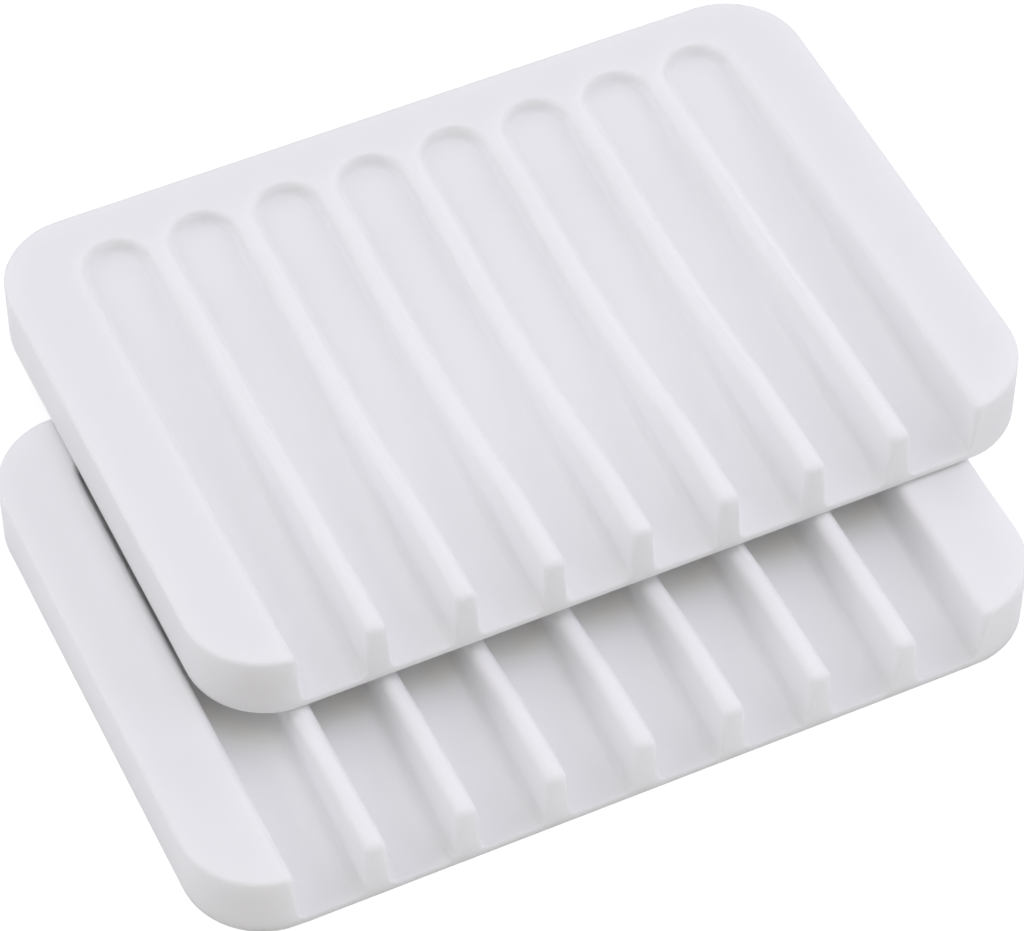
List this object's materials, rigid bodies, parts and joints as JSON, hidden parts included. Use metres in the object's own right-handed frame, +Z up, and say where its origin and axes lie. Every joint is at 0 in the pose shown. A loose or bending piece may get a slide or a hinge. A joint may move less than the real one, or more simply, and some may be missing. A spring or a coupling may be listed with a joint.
{
  "type": "soap dish pair",
  "caption": "Flat moulded silicone self-draining soap dishes, a matching pair laid one on the other, with ribs, a shallow soap cradle and drain channels open at the front edge.",
  "frame": {"origin": "centre of the lower dish's flat underside, on the surface that it lies on", "axes": "+Z up, +X along the dishes' length, -Y towards the drain edge; the upper dish is set back to +Y and shifted to +X"},
  "size_m": [0.1256, 0.1029, 0.0203],
  "materials": {
    "lower_silicone": "matt white silicone, faintly translucent, as moulded",
    "upper_silicone": "matt white silicone, faintly translucent, as moulded"
  },
  "bodies": {
    "lower": {"lower_dish": "lower_silicone"},
    "upper": {"upper_dish": "upper_silicone"}
  },
  "joints": [
    {"name": "upper_dish_lift", "type": "slide", "parent": "lower", "child": "upper", "axis": [0, 0, 1], "range_m": [0, 0.04]}
  ]
}
